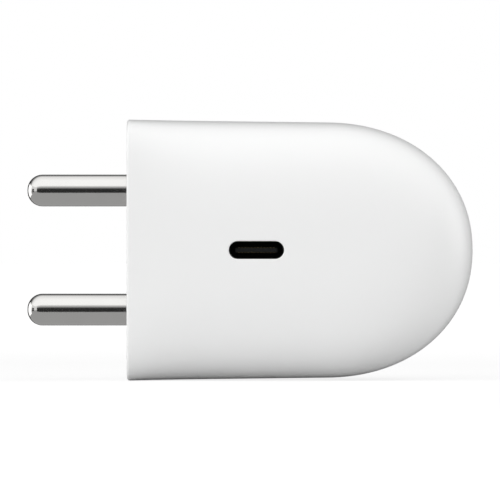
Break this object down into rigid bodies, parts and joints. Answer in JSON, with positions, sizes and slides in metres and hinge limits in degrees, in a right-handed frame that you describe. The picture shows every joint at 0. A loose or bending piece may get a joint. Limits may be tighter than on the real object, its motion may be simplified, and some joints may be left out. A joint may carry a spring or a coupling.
{
  "type": "wall plug power adapter",
  "caption": "Compact white wall-plug power adapter with fixed round pins on its flat end and a USB-C socket in its crowned broad face.",
  "frame": {"origin": "middle of the flat pin face, halfway between the pins", "axes": "+X from the pin face to the rounded nose, so the pins point to -X; +Z along the line through both pins; -Y out of the broad face that holds the USB-C socket"},
  "size_m": [0.0711, 0.028, 0.0414],
  "materials": {
    "white_housing": "satin white moulding",
    "white_plate": "fine-grained white moulding",
    "nickel_pin": "bright nickel plating",
    "socket_steel": "dark nickel-plated steel",
    "mid_steel": "plain steel",
    "black_moulding": "matt black moulding",
    "gold_contact": "gilt",
    "contact_brass": "bare brass",
    "board_green": "solder mask",
    "insulation": "thin film",
    "tinned_wire": "tinned",
    "can_aluminium": "sleeved can",
    "seal_rubber": "matt",
    "ceramic": "fired ceramic",
    "ferrite": "sintered",
    "copper_wire": "enamelled",
    "yellow_potting": "moulded case",
    "green_dip": "dipped coating",
    "blue_dip": "dipped coating",
    "lead_sleeve": "wire sleeve",
    "chip_epoxy": "moulded epoxy",
    "chip_ceramic": "fired ceramic",
    "spreader_aluminium": "rolled sheet",
    "pad_silicone": "soft pad"
  },
  "bodies": {
    "root": {"housing": "white_housing", "pin_plate": "white_plate", "line_pin": "nickel_pin", "neutral_pin": "nickel_pin", "usb_c_shell": "socket_steel", "usb_c_mid_plate": "mid_steel", "usb_c_tongue": "black_moulding", "usb_c_rear_block": "black_moulding", "pin_carrier": "black_moulding", "transformer_bobbin": "black_moulding", "choke_base": "black_moulding", "usb_c_upper_contacts": "gold_contact", "usb_c_lower_contacts": "gold_contact", "line_contact": "contact_brass", "neutral_contact": "contact_brass", "fuse_caps": "contact_brass", "main_board": "board_green", "output_board": "board_green", "insulation_sheet": "insulation", "component_leads": "tinned_wire", "transformer_pins": "tinned_wire", "bulk_capacitor_cans": "can_aluminium", "output_capacitors": "can_aluminium", "bulk_capacitor_seals": "seal_rubber", "fuse_body": "ceramic", "choke_core": "ferrite", "transformer_upper_core": "ferrite", "transformer_lower_core": "ferrite", "choke_windings": "copper_wire", "primary_winding": "copper_wire", "secondary_winding": "copper_wire", "x_capacitor": "yellow_potting", "transformer_tape": "yellow_potting", "inrush_thermistor": "green_dip", "y_capacitor": "blue_dip", "secondary_leads": "lead_sleeve", "bridge_rectifier": "chip_epoxy", "primary_controller": "chip_epoxy", "sync_rectifier": "chip_epoxy", "optocoupler": "chip_epoxy", "load_switch": "chip_epoxy", "pd_controller": "chip_epoxy", "chip_resistors": "chip_epoxy", "chip_capacitors": "chip_ceramic", "heat_spreader": "spreader_aluminium", "thermal_pad": "pad_silicone"}
  },
  "joints": []
}
